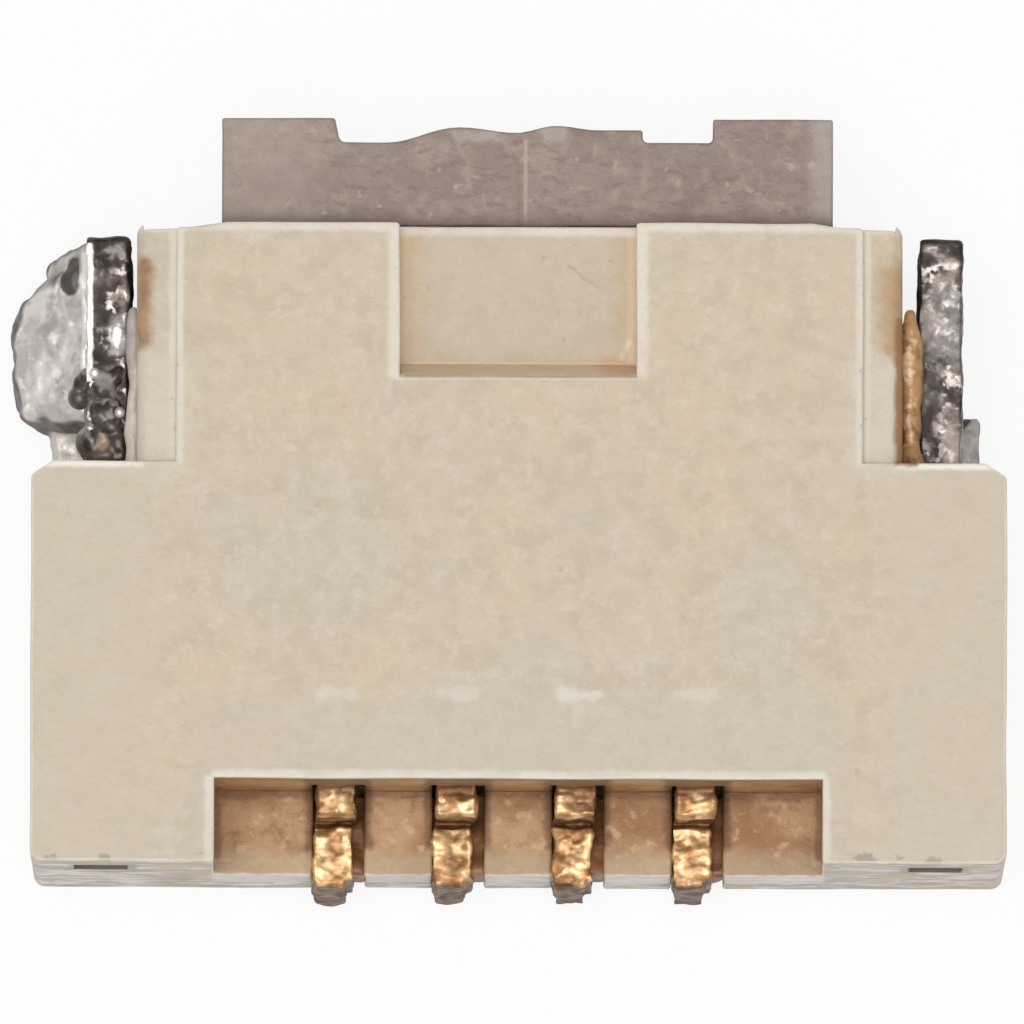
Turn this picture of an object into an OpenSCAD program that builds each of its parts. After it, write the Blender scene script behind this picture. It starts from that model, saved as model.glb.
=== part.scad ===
/* [Contact row] */
// Number of contacts in the row
circuits = 4; // [2:1:10]
// Distance from one contact to the next
pitch = 1; // [0.9:0.05:1.5]

/* [Housing] */
// Air gap that the tails and nails keep under the housing
standoff = 0.05; // [0.02:0.01:0.15]
// Skin left under the contact grooves
floor_skin = 0.4; // [0.3:0.05:0.8]
// Depth of the contact grooves below the cable floor
groove_h = 0.35; // [0.3:0.05:0.6]
// Height of the cable slot, between the cable floor and the slider
cable_slot_h = 0.32; // [0.25:0.01:0.45]
// Roof over the cavity
roof_t = 0.6; // [0.45:0.05:1]
// Side wall beside the cavity
side_wall = 0.54; // [0.5:0.02:1]
// Wall between the cavity and the tails
rear_wall = 0.6; // [0.4:0.05:1]
// Depth of the cavity behind the front face
cavity_d = 4.05; // [3.6:0.05:6]
// Length of the narrow front section
front_len = 2; // [1.8:0.1:3]
// Width of the shoulder behind each fitting nail
shoulder_w = 0.87; // [0.8:0.01:1.2]
// Width of the cut across each shoulder's outer corner
shoulder_cut_w = 0.18; // [0.05:0.01:0.25]
// Length of that cut
shoulder_cut_l = 0.12; // [0.05:0.01:0.25]
// Width of the stepped edge along each side of the front section
ledge_w = 0.33; // [0.2:0.01:0.5]
// Step down from the top face to that edge
ledge_drop = 0.1; // [0.05:0.01:0.2]
// Round of its outer edge
ledge_r = 0.12; // [0.05:0.01:0.2]
// Round of the housing's upright corners
corner_r = 0.1; // [0.04:0.01:0.15]

/* [Pocket in the roof] */
// Width of the pocket at the front edge
pocket_w = 1.97; // [1:0.01:3]
// Side shift of the pocket
pocket_shift = -0.015; // [-0.05:0.005:0.05]
// Length of the pocket
pocket_len = 1.3; // [0.8:0.05:1.8]
// Depth of the pocket
pocket_h = 0.34; // [0.1:0.02:0.4]
// Length of the slope at its closed end
pocket_ramp = 0.15; // [0.05:0.01:0.3]

/* [Tail recess] */
// Depth of the recess from the rear face
recess_d = 0.7; // [0.5:0.05:1]
// Depth of its floor below the top face
recess_h = 1.25; // [0.9:0.05:1.6]
// Distance from the last contact to its end wall
recess_end = 1.03; // [0.7:0.01:1.5]

/* [Contacts] */
// Thickness of the contact strip
contact_t = 0.32; // [0.2:0.01:0.4]
// Clearance on each side of a contact in its slot
slot_gap = 0.055; // [0.04:0.005:0.1]
// Side shift of the contacts in their slots
contact_shift = -0.02; // [-0.02:0.01:0.02]
// Height of the contact points above the cable floor
contact_rise = 0.15; // [0.05:0.01:0.22]
// Height of the spring beam
beam_h = 0.2; // [0.12:0.01:0.24]
// Length of the beam past the contact point
beam_nose = 0.45; // [0.3:0.05:0.7]
// Height of the upper arm
arm_h = 0.24; // [0.15:0.01:0.35]
// Clearance under the upper arm, over the slider's blade
arm_gap = 0.08; // [0.05:0.01:0.15]
// Clearance over the upper arm and the slider, under the roof
roof_gap = 0.08; // [0.05:0.01:0.15]
// Length of the base in front of the rear wall
throat = 0.1; // [0.05:0.01:0.3]
// Height of the retaining teeth
tooth_h = 0.03; // [0.02:0.01:0.04]
// Reach of the tails behind the housing
tail_out = 0.13; // [0.1:0.01:1]
// Length of the solder sole
sole_len = 0.3; // [0.2:0.01:0.4]
// Side set of the tails below their upper step
tail_set = -0.03; // [-0.03:0.005:0.03]
// Width of the tail's end, outside the housing
toe_w = 0.24; // [0.15:0.01:0.32]
// Side set of that end
toe_set = -0.02; // [-0.03:0.005:0.03]
// Gap between it and the rear face
toe_gap = 0.04; // [0:0.01:0.06]
// Slope of the tail's end, from the board up to its top
toe_slope = 0.03; // [0.01:0.01:0.06]
// Length of the tail's upper step
step_len = 0.25; // [0.15:0.01:0.35]
// Top of the upper step above the recess floor
step_rise = 0.45; // [0.2:0.01:0.5]

/* [Slider] */
// Distance from the last contact to the slider's side
slider_end = 1.05; // [0.9:0.05:1.3]
// Clearance between the slider and each side wall
side_gap = 0.1; // [0.09:0.01:0.15]
// Side shift of the slider in that clearance
slider_shift = 0.06; // [-0.08:0.01:0.08]
// Travel from closed to open
travel = 1.2; // [0.8:0.05:1.3]
// Reach of the closed head in front of the housing
head_out = 0.94; // [0.7:0.02:1.5]
// Gap between the closed head and the front face
head_gap = 0.03; // [0.02:0.01:0.06]
// Drop from the housing's top face to the head
head_drop = 0.6; // [0.4:0.05:0.8]
// Thickness of the blade that presses the cable
blade_t = 0.38; // [0.3:0.01:0.6]
// Gap between the blade's tip and the rear wall
blade_end = 0.85; // [0.6:0.05:1.2]
// Overlap of the open blade and the contact points
blade_cover = -0.1; // [-0.2:0.05:0]
// Length of the thick part inside the cavity
neck_len = 1.75; // [1.7:0.05:2]
// Length of the slope between the blade and the thick part
slope_len = 0.35; // [0.2:0.05:0.5]
// Gap between the slope and the upper arms
slope_gap = 0.25; // [0.1:0.05:0.4]
// Length of the bevel at the blade's tip
tip_len = 0.3; // [0.1:0.05:0.4]
// Depth of the grip notches in the head
notch_d = 0.2; // [0.1:0.01:0.4]
// Width of the ear beside the left notch
left_ear_w = 0.94; // [0.6:0.01:1.2]
// Width of the left notch
left_notch_w = 0.44; // [0.3:0.01:0.7]
// Width of the ear beside the right notch
right_ear_w = 1; // [0.6:0.01:1.2]
// Width of the right notch
right_notch_w = 0.59; // [0.3:0.01:0.7]
// Slope of the left ear's inner side
ear_slope = 0.04; // [0.01:0.01:0.1]
// Height of the worn crown between the notches
crown_h = 0.12; // [0.05:0.01:0.18]

/* [Slider stop] */
// Length of the stop lug on each side
lug_len = 0.4; // [0.2:0.05:0.5]
// Reach of the lug
lug_out = 0.25; // [0.2:0.01:0.27]
// Height of the lug
lug_h = 0.4; // [0.2:0.02:0.46]
// Clearance around the lug in its groove
lug_gap = 0.05; // [0.03:0.01:0.08]
// Depth of the groove in the side wall
groove_in = 0.3; // [0.29:0.01:0.35]
// Wall that closes the groove at the front
groove_front = 0.4; // [0.25:0.05:0.6]

/* [Fitting nails] */
// Thickness of the nail plate
nail_t = 0.35; // [0.2:0.01:0.4]
// Length of the plate in front of the shoulder
nail_len = 1.92; // [1.4:0.02:2]
// Height of the plate
nail_h = 2.05; // [1.6:0.05:2.2]
// Gap between a centred plate and the side wall
nail_side_gap = 0.11; // [0.05:0.01:0.12]
// Side shift of both nails in their slots
nail_shift = 0.04; // [-0.04:0.01:0.04]
// Clearance on each side of the tongue in its slot
nail_play = 0.045; // [0.04:0.001:0.05]
// Height of the tongue held in the housing
nail_tongue_h = 0.3; // [0.2:0.02:0.4]
// Clearance over and under the tongue in its slot
nail_slot_gap = 0.03; // [0.02:0.01:0.05]
// Distance from the tongue's end to the rear face
nail_end = 0.2; // [0.1:0.02:0.6]
// Length of the foot
foot_len = 0.6; // [0.4:0.05:0.8]
// Reach of the foot beside the plate
foot_out = 0.17; // [0.1:0.01:0.25]
// Height of the foot
foot_h = 0.3; // [0.15:0.01:0.4]

/* [Solder left on the nails] */
// Reach of the lump on the left nail
lump_out = 0.63; // [0.5:0.01:0.7]
// Height of the lump at the plate
lump_h = 0.95; // [0.7:0.05:1.5]
// Fall of the lump's top towards its rim
lump_fall = 0.3; // [0.1:0.05:0.4]
// Radius of the lump's upright round rim
lump_r = 0.14; // [0.08:0.01:0.2]
// Thickness of the residue on the right foot
film_t = 0.05; // [0.03:0.01:0.08]
// Height to which the residue climbs the right plate
film_h = 0.25; // [0.1:0.05:0.6]

/* [Hidden] */
$fn = 48;
// Overshoot of a cut past the face that it opens
cut = 0.5;

// Levels, from the board up
groove_z = standoff + floor_skin;
floor_z = groove_z + groove_h;
blade_z = floor_z + cable_slot_h;
arm_z = blade_z + blade_t + arm_gap;
arm_top = arm_z + arm_h;
roof_z = arm_top + roof_gap;
top_z = roof_z + roof_t;
recess_z = top_z - recess_h;
head_z = top_z - head_drop;
lug_z = (blade_z + arm_top - lug_h) / 2;
nail_z = nail_h - nail_tongue_h;

// Stations along Y, with the housing's plan centred on the origin
body_d = cavity_d + rear_wall + recess_d;
front_y = body_d / 2;
rear_y = -body_d / 2;
wall_y = rear_y + recess_d;
back_y = wall_y + rear_wall;
shoulder_y = front_y - front_len;
tip_y = back_y + blade_end;
neck_y = front_y - neck_len;
arm_y = neck_y - slope_len - slope_gap;
point_y = tip_y + travel + blade_cover;
nose_y = point_y + beam_nose;
tail_y = rear_y - tail_out;
groove_front_y = front_y - groove_front;
groove_rear_y = groove_front_y - lug_len - travel - 2 * lug_gap;
lug_y = groove_rear_y + lug_gap;

// Widths along X
row = (circuits - 1) * pitch;
slot_w = contact_t + 2 * slot_gap;
slider_w = row + 2 * slider_end;
cavity_w = slider_w + 2 * side_gap;
front_w = cavity_w + 2 * side_wall;
body_w = front_w + 2 * shoulder_w;
recess_w = row + 2 * recess_end;
nail_x = front_w / 2 + nail_side_gap;
nail_face = nail_x + nail_t;

// Tops and dips of the head's worn crown: place along it, share of its height
crown = [[0, 0], [0.28, 1.05], [0.5, 0.68], [0.66, 1.18], [0.83, 0.9], [1, 0.86]];
// Plan of the lump's slab and of its small front lobe: share of the reach, share of the plate's length
slab_rim = [[0, 0.31], [0.5, 0.31], [0.9, 0.34], [1, 0.42], [1, 0.66], [0.88, 0.76], [0.5, 0.84], [0, 0.9]];
lobe_rim = [[0, 0.97], [0.45, 0.94], [0, 0.84]];
// Crest of the residue beside the right plate: share of the foot's length, share of the climb
residue_crest = [[0.3, 1], [0.7, 0.6]];

function contact_x(i) = (i - (circuits + 1) / 2) * pitch;

// A box given by its two limits along each axis
module block(x, y, z) {
    translate([x[0], y[0], z[0]])
        cube([x[1] - x[0], y[1] - y[0], z[1] - z[0]]);
}

// An outline drawn in Y and Z, given a width along X and centred there
module along_x(width) {
    rotate([90, 0, 90])
        linear_extrude(width, center = true)
            children();
}

// A rectangle centred on X with true round corners
module round_rect(width, y, r) {
    translate([-width / 2, y[0] + r])
        square([width, y[1] - y[0] - 2 * r]);
    translate([-width / 2 + r, y[0]])
        square([width - 2 * r, y[1] - y[0]]);
    for (x = [-1, 1], v = [y[0] + r, y[1] - r])
        translate([x * (width / 2 - r), v])
            circle(r);
}

// Plan of the housing: a wide rear block and a narrower front section
module housing_plan() {
    difference() {
        round_rect(body_w, [rear_y, shoulder_y], corner_r);
        for (s = [-1, 1])
            translate([s * body_w / 2, shoulder_y])
                polygon([
                    [-shoulder_cut_w, 0], [0, -shoulder_cut_l],
                    [shoulder_cut_w, 0], [0, shoulder_cut_l]
                ]);
    }
    round_rect(front_w, [shoulder_y - 2 * corner_r, front_y], corner_r);
}

// Section of the front part, with a stepped and rounded edge on each side
module front_section() {
    translate([-front_w / 2 + ledge_w, standoff])
        square([front_w - 2 * ledge_w, top_z - standoff]);
    translate([-front_w / 2 + ledge_r, standoff])
        square([front_w - 2 * ledge_r, top_z - ledge_drop - standoff]);
    translate([-front_w / 2, standoff])
        square([front_w, top_z - ledge_drop - ledge_r - standoff]);
    for (s = [-1, 1])
        translate([s * (front_w / 2 - ledge_r), top_z - ledge_drop - ledge_r])
            circle(ledge_r);
}

// Outer form of the housing
module housing_form() {
    intersection() {
        translate([0, 0, standoff])
            linear_extrude(top_z - standoff)
                housing_plan();
        union() {
            block([-body_w, body_w], [rear_y - cut, shoulder_y], [0, top_z + cut]);
            translate([0, front_y + cut, 0])
                rotate([90, 0, 0])
                    linear_extrude(front_len + 2 * cut)
                        front_section();
        }
    }
}

// Space for the cable and the slider, with a lead-in at the cable floor
module cavity() {
    block([-cavity_w / 2, cavity_w / 2], [back_y, front_y + cut], [floor_z, roof_z]);
    along_x(cavity_w)
        polygon([
            [front_y - cable_slot_h, floor_z],
            [front_y + cut, floor_z - cable_slot_h / 2 - cut / 2],
            [front_y + cut, floor_z + cut]
        ]);
}

// Shallow pocket at the front edge of the roof
module roof_pocket() {
    translate([pocket_shift, 0, 0])
        along_x(pocket_w)
            polygon([
                [front_y - pocket_len, top_z],
                [front_y - pocket_len + pocket_ramp, top_z - pocket_h],
                [front_y + cut, top_z - pocket_h],
                [front_y + cut, top_z + cut],
                [front_y - pocket_len, top_z + cut]
            ]);
}

// Recess that opens the tails to the rear, with a slot for each tail
module tail_recess() {
    block([-recess_w / 2, recess_w / 2], [rear_y - cut, wall_y], [recess_z, top_z + cut]);
    for (i = [1 : circuits])
        translate([contact_x(i), 0, 0])
            block([-slot_w / 2, slot_w / 2], [rear_y - cut, wall_y], [-cut, recess_z + cut]);
}

// Slot through the rear wall and groove in the cable floor, for one contact
module contact_slot() {
    x = [-slot_w / 2, slot_w / 2];
    block(x, [wall_y - cut, back_y + cut], [groove_z, arm_top + tooth_h]);
    block(x, [back_y, nose_y + contact_rise + slot_gap], [groove_z, floor_z + cut / 2]);
}

// Slot through the rear block that holds a nail's tongue
module nail_slot() {
    block(
        [nail_x - nail_play, nail_face + nail_play],
        [rear_y - cut, shoulder_y + cut],
        [nail_z - nail_slot_gap, nail_h + nail_slot_gap]
    );
}

// Groove in a side wall in which the slider's lug travels
module lug_groove() {
    block(
        [cavity_w / 2 - side_gap, cavity_w / 2 + groove_in],
        [groove_rear_y, groove_front_y],
        [lug_z - lug_gap, lug_z + lug_h + lug_gap]
    );
}

// Moulded insulator
module housing() {
    color("#cabda9")
        difference() {
            housing_form();
            cavity();
            roof_pocket();
            tail_recess();
            for (i = [1 : circuits])
                translate([contact_x(i), 0, 0])
                    contact_slot();
            for (s = [0, 1])
                mirror([s, 0, 0]) {
                    nail_slot();
                    lug_groove();
                }
        }
}

// Stamped fork contact: tail, base with teeth, spring beam and upper arm
module contact_outline() {
    step_z = recess_z + step_rise;
    low_z = recess_z + standoff;
    step_y = wall_y - step_len;
    base_y = back_y + throat;
    tooth_pitch = rear_wall / 5;
    beam_top = floor_z;
    beam_low = floor_z - beam_h;
    bevel = tooth_h;
    polygon([
        // Tail, from the sole up over its two steps
        [tail_y + sole_len, 0],
        [tail_y, 0],
        [tail_y + toe_slope, low_z - bevel],
        [tail_y + toe_slope + bevel, low_z],
        [step_y - 2 * bevel, low_z],
        [step_y - bevel, low_z - 2 * bevel],
        [step_y, low_z - 2 * bevel],
        [step_y, step_z - bevel],
        [step_y + bevel, step_z],
        [wall_y, step_z],
        // Base in the rear wall, with two teeth
        [wall_y, arm_top],
        [wall_y + tooth_pitch, arm_top],
        [wall_y + 2 * tooth_pitch, arm_top + tooth_h],
        [wall_y + 2 * tooth_pitch, arm_top],
        [wall_y + 3 * tooth_pitch, arm_top],
        [wall_y + 4 * tooth_pitch, arm_top + tooth_h],
        [wall_y + 4 * tooth_pitch, arm_top],
        // Upper arm
        [arm_y - bevel, arm_top],
        [arm_y, arm_top - bevel],
        [arm_y, arm_z],
        [base_y + 2 * bevel, arm_z],
        [base_y, arm_z - 2 * bevel],
        // Spring beam with the contact point
        [base_y, beam_top + 2 * bevel],
        [base_y + 2 * bevel, beam_top],
        [point_y - contact_rise - 2 * bevel, beam_top],
        [point_y - bevel, floor_z + contact_rise],
        [point_y + bevel, floor_z + contact_rise],
        [nose_y, beam_low + beam_h / 2],
        [nose_y, beam_low],
        [base_y, beam_low],
        [back_y, groove_z],
        [wall_y, groove_z],
        // Underside of the tail
        [wall_y, low_z - 4 * bevel - sole_len],
        [tail_y + sole_len + bevel, low_z - 4 * bevel - sole_len]
    ]);
}

// The contact's outline given a width, between two stations along Y
module contact_length(y, width) {
    intersection() {
        along_x(width)
            contact_outline();
        block([-contact_t, contact_t], y, [-cut, top_z]);
    }
}

// One contact, with its tail set to the side below the upper step, and narrower at its end
module contact() {
    step_y = wall_y - step_len;
    toe_y = rear_y - toe_gap;
    color("#b59368")
        translate([contact_shift, 0, 0]) {
            contact_length([step_y, front_y], contact_t);
            translate([tail_set, 0, 0])
                contact_length([toe_y, step_y], contact_t);
            translate([tail_set + toe_set, 0, 0])
                contact_length([tail_y - cut, toe_y], toe_w);
        }
}

// Side view of the slider: head, thick neck, slope and blade with a bevelled tip
module slider_outline() {
    tip_z = blade_z + blade_t / 2;
    polygon([
        [front_y + head_out, blade_z],
        [front_y + head_out, head_z],
        [front_y + head_gap, head_z],
        [front_y + head_gap, arm_top],
        [neck_y, arm_top],
        [neck_y - slope_len, blade_z + blade_t],
        [tip_y + tip_len / 2, blade_z + blade_t],
        [tip_y, tip_z + blade_t / 5],
        [tip_y, tip_z - blade_t / 5],
        [tip_y + tip_len, blade_z]
    ]);
}

// Height of the worn crown at t from 0 to 1, eased between the tops and dips listed in crown
function crown_at(t, i = 0) =
    t > crown[i + 1][0] ? crown_at(t, i + 1) :
    let (u = (t - crown[i][0]) / (crown[i + 1][0] - crown[i][0]))
    crown_h * (crown[i][1] + (crown[i + 1][1] - crown[i][1]) * (1 - cos(180 * u)) / 2);

// Plan of what is cut from the head's front edge: two grip notches with a worn crown between them
module head_edge() {
    ear_y = front_y + head_out;
    notch_y = ear_y - notch_d;
    left = -slider_w / 2 + left_ear_w;
    right = slider_w / 2 - right_ear_w;
    crown_left = left + left_notch_w;
    crown_w = right - right_notch_w - crown_left;
    polygon([
        [left, ear_y + cut],
        [left, ear_y],
        [left + ear_slope, notch_y],
        for (t = [0 : 0.04 : 1])
            [crown_left + crown_w * t, notch_y + crown_at(t)],
        [crown_left + crown_w, notch_y],
        [right, notch_y],
        [right, ear_y + cut]
    ]);
}

// Rail with a stop lug, along one side of the slider
module slider_rail() {
    rail_w = slider_end / 3;
    side = slider_w / 2;
    block([side - rail_w, side], [lug_y, front_y + head_gap], [blade_z, arm_top]);
    block([side - rail_w, side + lug_out], [lug_y, lug_y + lug_len], [lug_z, lug_z + lug_h]);
}

// Actuator that presses the cable onto the contacts
module slider() {
    color("#978c80")
        translate([slider_shift, 0, 0]) {
            difference() {
                along_x(slider_w)
                    slider_outline();
                translate([0, 0, blade_z - cut])
                    linear_extrude(top_z)
                        head_edge();
            }
            for (s = [0, 1])
                mirror([s, 0, 0])
                    slider_rail();
        }
}

// Sheet nail: upright plate, tongue with a tooth, and a foot
module fitting_nail() {
    tongue_y = rear_y + nail_end;
    tooth = nail_slot_gap;
    color("#6e665f") {
        translate([nail_x + nail_t / 2, 0, 0])
            along_x(nail_t)
                polygon([
                    [shoulder_y, 0],
                    [shoulder_y + nail_len, 0],
                    [shoulder_y + nail_len, nail_h - tooth],
                    [shoulder_y + nail_len - tooth, nail_h],
                    [shoulder_y - nail_end, nail_h],
                    [shoulder_y - nail_end, nail_h + tooth],
                    [shoulder_y - 2 * nail_end, nail_h],
                    [tongue_y + tooth, nail_h],
                    [tongue_y, nail_h - tooth],
                    [tongue_y, nail_z],
                    [shoulder_y, nail_z]
                ]);
        block([nail_x, nail_face + foot_out], [shoulder_y, shoulder_y + foot_len], [0, foot_h]);
    }
}

// Puts a child on the left or the right side, with the nails' shift
module at_nail(side) {
    translate([nail_shift, 0, 0])
        mirror([side == "left" ? 1 : 0, 0, 0])
            children();
}

module fitting_nail_left() {
    at_nail("left")
        fitting_nail();
}

module fitting_nail_right() {
    at_nail("right")
        fitting_nail();
}

// A column with a round top, at a place beside the plate: [out, along, top], radius
module bead(at, r) {
    translate([nail_face + at[0], shoulder_y + at[1], 0]) {
        cylinder(r = r, h = at[2] - r, $fn = 20);
        translate([0, 0, at[2] - r])
            sphere(r, $fn = 20);
    }
}

// Solder on a nail, cut flat by the plate, the foot, the shoulder and the board
module solder_form() {
    difference() {
        intersection() {
            union()
                children();
            block([nail_face, body_w], [shoulder_y, front_y + cut], [0, top_z]);
        }
        block([0, nail_face + foot_out], [shoulder_y - cut, shoulder_y + foot_len], [-cut, foot_h]);
    }
}

// Hull of round-topped columns along a rim that's given in shares of the lump's reach and the plate
module lump_part(rim) {
    reach = lump_out - lump_r;
    hull()
        for (at = rim)
            bead([at[0] * reach, at[1] * nail_len, at[0] == 0 ? lump_h : lump_h - lump_fall], lump_r);
}

// Lump on the left nail: a broad slab, a small lobe at its front and a coat over the foot
module solder_left() {
    r = lump_r / 2;
    color("#c2bab5")
        at_nail("left")
            solder_form() {
                lump_part(slab_rim);
                lump_part(lobe_rim);
                hull()
                    for (y = [0, foot_len])
                        for (x = [0, lump_out / 2 - r])
                            bead([x, y, foot_h + 2 * r], r);
            }
}

// Thin residue on the right foot, climbing the plate a little
module solder_right() {
    color("#a9a19b")
        at_nail("right")
            solder_form()
                hull() {
                    for (y = [film_t * 2, foot_len - film_t])
                        bead([foot_out - film_t, y, foot_h + film_t], film_t);
                    for (at = residue_crest)
                        bead([0, at[0] * foot_len, foot_h + at[1] * film_h], film_t);
                }
}

housing();
slider();
for (i = [1 : circuits])
    translate([contact_x(i), 0, 0]) contact();
fitting_nail_left();
fitting_nail_right();
solder_left();
solder_right();
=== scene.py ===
import math

import bmesh
import bpy
from mathutils import Matrix, Quaternion, Vector, noise


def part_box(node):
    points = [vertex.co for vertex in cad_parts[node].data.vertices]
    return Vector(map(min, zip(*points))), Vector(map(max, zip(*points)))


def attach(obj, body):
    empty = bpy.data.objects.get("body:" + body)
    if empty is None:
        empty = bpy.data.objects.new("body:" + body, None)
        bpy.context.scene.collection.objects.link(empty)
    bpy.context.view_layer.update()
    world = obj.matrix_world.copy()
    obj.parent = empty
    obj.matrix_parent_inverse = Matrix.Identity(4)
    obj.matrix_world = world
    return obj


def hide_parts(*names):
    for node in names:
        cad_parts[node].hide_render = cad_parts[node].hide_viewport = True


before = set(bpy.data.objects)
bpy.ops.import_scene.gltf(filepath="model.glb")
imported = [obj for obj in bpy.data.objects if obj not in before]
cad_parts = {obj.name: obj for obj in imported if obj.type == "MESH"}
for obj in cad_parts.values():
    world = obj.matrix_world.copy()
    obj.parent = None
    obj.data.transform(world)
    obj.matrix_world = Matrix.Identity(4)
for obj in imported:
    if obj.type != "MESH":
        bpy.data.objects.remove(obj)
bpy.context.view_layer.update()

MM = 0.001
FIXED = "connector"
SLIDING = "lock"
CONTACTS = sorted(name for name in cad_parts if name.startswith("contact_"))


# ---------------------------------------------------------------- places, in millimetres

def box_mm(node):
    """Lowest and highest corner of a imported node."""
    lo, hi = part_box(node)
    return Vector(lo) / MM, Vector(hi) / MM


HOUSING_LO, HOUSING_HI = box_mm("housing")
SLIDER_LO, SLIDER_HI = box_mm("slider")
NAIL_L_LO, NAIL_L_HI = box_mm("fitting_nail_left")
NAIL_R_LO, NAIL_R_HI = box_mm("fitting_nail_right")

TOP = HOUSING_HI.z
FRONT = HOUSING_HI.y
REAR = HOUSING_LO.y
# Stations and levels of the moulding
SHOULDER = FRONT - 2.0
FRONT_HALF = 3.19
LEDGE = 0.33
LEDGE_Z = TOP - 0.1
POCKET_L = -1.0
POCKET_R = 0.97
POCKET_Z = TOP - 0.34
POCKET_BACK = FRONT - 1.3
POCKET_RAMP = 0.15
RECESS_WALL = REAR + 0.7
RECESS_Z = TOP - 1.25
RECESS_HALF = 2.53
# Slits of the nails' tongues in the rear face: distance from the middle, and height
NAIL_SLOT = (3.25, 3.7)
NAIL_SLOT_Z = (1.7, 2.1)
# Outer face of the left nail's plate; its foot reaches further out
PLATE_L = NAIL_L_LO.x + 0.17


# ---------------------------------------------------------------- camera, floor and light

def place_camera():
    """Long lens over the tail side, looking almost straight down."""
    elevation, roll = math.radians(84.2), math.radians(0.2)
    distance, view_width = 250 * MM, 8.562 * MM
    back = Vector((0, -math.cos(elevation), math.sin(elevation)))
    data = bpy.data.cameras.new("camera")
    data.sensor_width = 36
    data.lens = data.sensor_width * distance / view_width
    camera = bpy.data.objects.new("camera", data)
    bpy.context.scene.collection.objects.link(camera)
    camera.location = Vector((-0.06, 0.378, 1.25)) * MM + back * distance
    camera.rotation_mode = "QUATERNION"
    camera.rotation_quaternion = Quaternion(back, roll) @ (-back).to_track_quat("-Z", "Y")
    bpy.context.scene.camera = camera


def light_studio():
    """An even overhead sky, white to the eye and shaded towards the horizon in reflections."""
    scene = bpy.context.scene
    scene.view_settings.view_transform = "Standard"
    world = bpy.data.worlds.new("studio")
    world.use_nodes = True
    scene.world = world
    tree = world.node_tree
    tree.nodes.clear()
    out = tree.nodes.new("ShaderNodeOutputWorld")
    light = tree.nodes.new("ShaderNodeBackground")
    seen = tree.nodes.new("ShaderNodeBackground")
    mirrored = tree.nodes.new("ShaderNodeBackground")
    first = tree.nodes.new("ShaderNodeMixShader")
    second = tree.nodes.new("ShaderNodeMixShader")
    path = tree.nodes.new("ShaderNodeLightPath")
    place = tree.nodes.new("ShaderNodeTexCoord")
    split = tree.nodes.new("ShaderNodeSeparateXYZ")
    ramp = tree.nodes.new("ShaderNodeValToRGB")
    light.inputs["Color"].default_value = (1.0, 0.995, 0.985, 1)
    light.inputs["Strength"].default_value = 0.47
    seen.inputs["Color"].default_value = (1, 1, 1, 1)
    seen.inputs["Strength"].default_value = 1.0
    mirrored.inputs["Strength"].default_value = 1.0
    ramp.color_ramp.elements[0].position = 0.12
    ramp.color_ramp.elements[0].color = (0.07, 0.065, 0.06, 1)
    ramp.color_ramp.elements[1].position = 0.9
    ramp.color_ramp.elements[1].color = (1.0, 0.99, 0.98, 1)
    tree.links.new(place.outputs["Generated"], split.inputs[0])
    tree.links.new(split.outputs["Z"], ramp.inputs["Fac"])
    tree.links.new(ramp.outputs["Color"], mirrored.inputs["Color"])
    tree.links.new(path.outputs["Is Glossy Ray"], first.inputs["Fac"])
    tree.links.new(light.outputs[0], first.inputs[1])
    tree.links.new(mirrored.outputs[0], first.inputs[2])
    tree.links.new(path.outputs["Is Camera Ray"], second.inputs["Fac"])
    tree.links.new(first.outputs[0], second.inputs[1])
    tree.links.new(seen.outputs[0], second.inputs[2])
    tree.links.new(second.outputs[0], out.inputs["Surface"])
    for name, strength, spread, turn in (
        ("overhead", 1.6, 35, (4, -5, 0)),
        ("low_fill", 0.4, 60, (50, 15, 0)),
    ):
        data = bpy.data.lights.new(name, "SUN")
        data.energy = strength
        data.angle = math.radians(spread)
        lamp = bpy.data.objects.new(name, data)
        lamp.rotation_euler = [math.radians(v) for v in turn]
        lamp.location = (0, 0, 0.1)
        scene.collection.objects.link(lamp)


def lay_floor():
    """White table under the connector, pale to the eye with a light shadow."""
    bm = bmesh.new()
    bmesh.ops.create_grid(bm, x_segments=1, y_segments=1, size=0.2)
    mesh = bpy.data.meshes.new("table")
    bm.to_mesh(mesh)
    bm.free()
    table = bpy.data.objects.new("table", mesh)
    bpy.context.scene.collection.objects.link(table)
    material = bpy.data.materials.new("white_table")
    material.use_nodes = True
    tree = material.node_tree
    tree.nodes.clear()
    out = tree.nodes.new("ShaderNodeOutputMaterial")
    matt = tree.nodes.new("ShaderNodeBsdfDiffuse")
    glow = tree.nodes.new("ShaderNodeEmission")
    both = tree.nodes.new("ShaderNodeMixShader")
    share = tree.nodes.new("ShaderNodeMath")
    path = tree.nodes.new("ShaderNodeLightPath")
    matt.inputs["Color"].default_value = (0.86, 0.86, 0.86, 1)
    glow.inputs["Color"].default_value = (1, 1, 1, 1)
    glow.inputs["Strength"].default_value = 1.0
    share.operation = "MULTIPLY"
    share.inputs[1].default_value = 0.88
    tree.links.new(path.outputs["Is Camera Ray"], share.inputs[0])
    tree.links.new(share.outputs[0], both.inputs["Fac"])
    tree.links.new(matt.outputs[0], both.inputs[1])
    tree.links.new(glow.outputs[0], both.inputs[2])
    tree.links.new(both.outputs[0], out.inputs["Surface"])
    mesh.materials.append(material)


# ---------------------------------------------------------------- building blocks for finishes

def tone(red, green, blue):
    """Display colour, 0 to 255, as the linear colour that a shader takes."""
    def linear(v):
        v = v / 255
        return v / 12.92 if v <= 0.04045 else ((v + 0.055) / 1.055) ** 2.4
    return (linear(red), linear(green), linear(blue), 1)


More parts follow.
